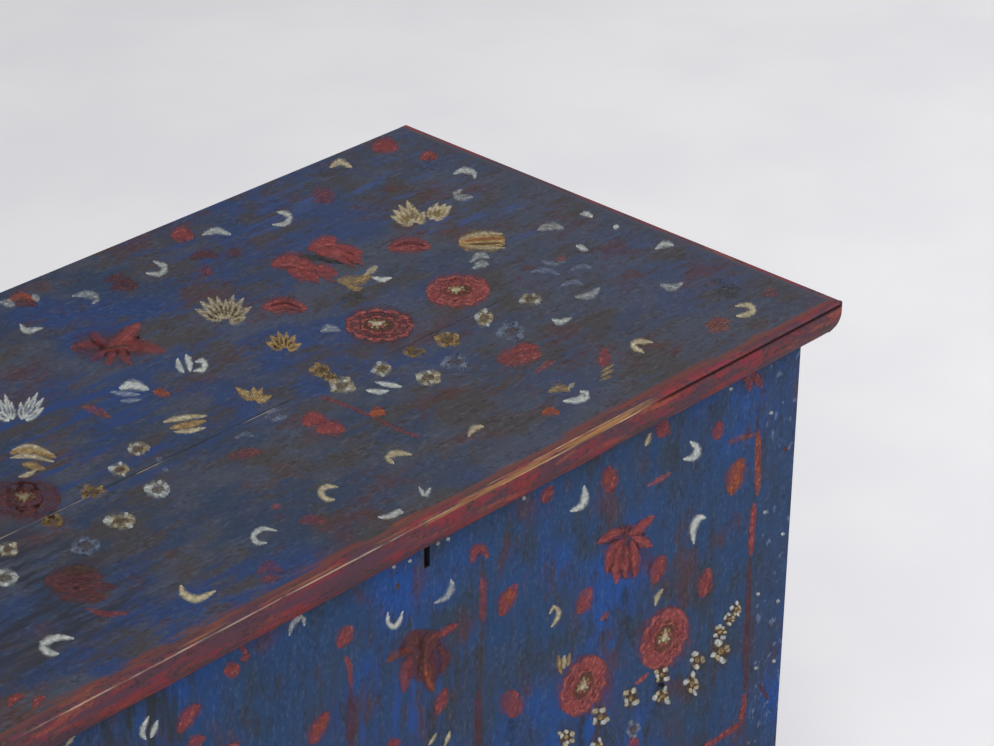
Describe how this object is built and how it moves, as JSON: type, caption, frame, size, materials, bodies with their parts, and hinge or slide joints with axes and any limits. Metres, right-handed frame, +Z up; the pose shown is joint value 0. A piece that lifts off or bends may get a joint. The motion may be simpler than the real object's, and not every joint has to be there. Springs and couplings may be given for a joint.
{
  "type": "storage trunk",
  "caption": "Painted plank chest with a flat overhanging hinged lid, moulded edges and plinth, iron strap hinges and a keyhole lock, for linen, papers and keepsakes.",
  "frame": {"origin": "on the floor under the middle of the chest", "axes": "+X along the length to the right end, the front faces -Y, +Z up"},
  "size_m": [1.074, 0.58, 0.6],
  "materials": {
    "blue_paint": "worn matt-satin blue paint",
    "red_paint": "worn matt-satin red paint",
    "bare_wood": "bare aged softwood",
    "wrought_iron": "dark forged iron"
  },
  "bodies": {
    "case": {"back_board": "blue_paint", "bolt_spring": "wrought_iron", "bolt_staple_left": "wrought_iron", "bolt_staple_right": "wrought_iron", "bottom_board_1": "bare_wood", "bottom_board_2": "bare_wood", "bottom_board_3": "bare_wood", "bottom_board_4": "bare_wood", "bottom_board_5": "bare_wood", "bottom_cleat_front": "bare_wood", "bottom_cleat_rear": "bare_wood", "bottom_nails": "wrought_iron", "bridge_rivets": "wrought_iron", "cleat_nails": "wrought_iron", "corner_pegs": "blue_paint", "front_board": "blue_paint", "hinge_case_nails": "wrought_iron", "key_post": "wrought_iron", "left_end_board": "blue_paint", "left_hinge_lower_strap": "wrought_iron", "left_hinge_pin": "wrought_iron", "lock_bridge": "wrought_iron", "lock_nails": "wrought_iron", "lock_plate": "wrought_iron", "plinth_back": "red_paint", "plinth_front": "red_paint", "plinth_left": "red_paint", "plinth_pegs": "red_paint", "plinth_right": "red_paint", "right_end_board": "blue_paint", "right_hinge_lower_strap": "wrought_iron", "right_hinge_pin": "wrought_iron"},
    "lid": {"batten_nails": "wrought_iron", "hinge_lid_nails": "wrought_iron", "left_hinge_upper_strap": "wrought_iron", "lid_batten_left": "bare_wood", "lid_batten_right": "bare_wood", "lid_board_front": "blue_paint", "lid_board_rear": "blue_paint", "lid_moulding_front": "red_paint", "lid_moulding_left": "red_paint", "lid_moulding_right": "red_paint", "lock_staple": "wrought_iron", "moulding_pegs": "red_paint", "right_hinge_upper_strap": "wrought_iron", "staple_nails": "wrought_iron"},
    "lock_bolt": {"lock_bolt": "wrought_iron"}
  },
  "joints": [
    {"name": "lid_hinge", "type": "hinge", "parent": "case", "child": "lid", "pos_m": [0, 0.2695, 0.57325], "axis": [-1, 0, 0], "range_deg": [0, 102]},
    {"name": "lock_bolt_slide", "type": "slide", "parent": "case", "child": "lock_bolt", "axis": [1, 0, 0], "range_m": [0, 0.016]}
  ]
}
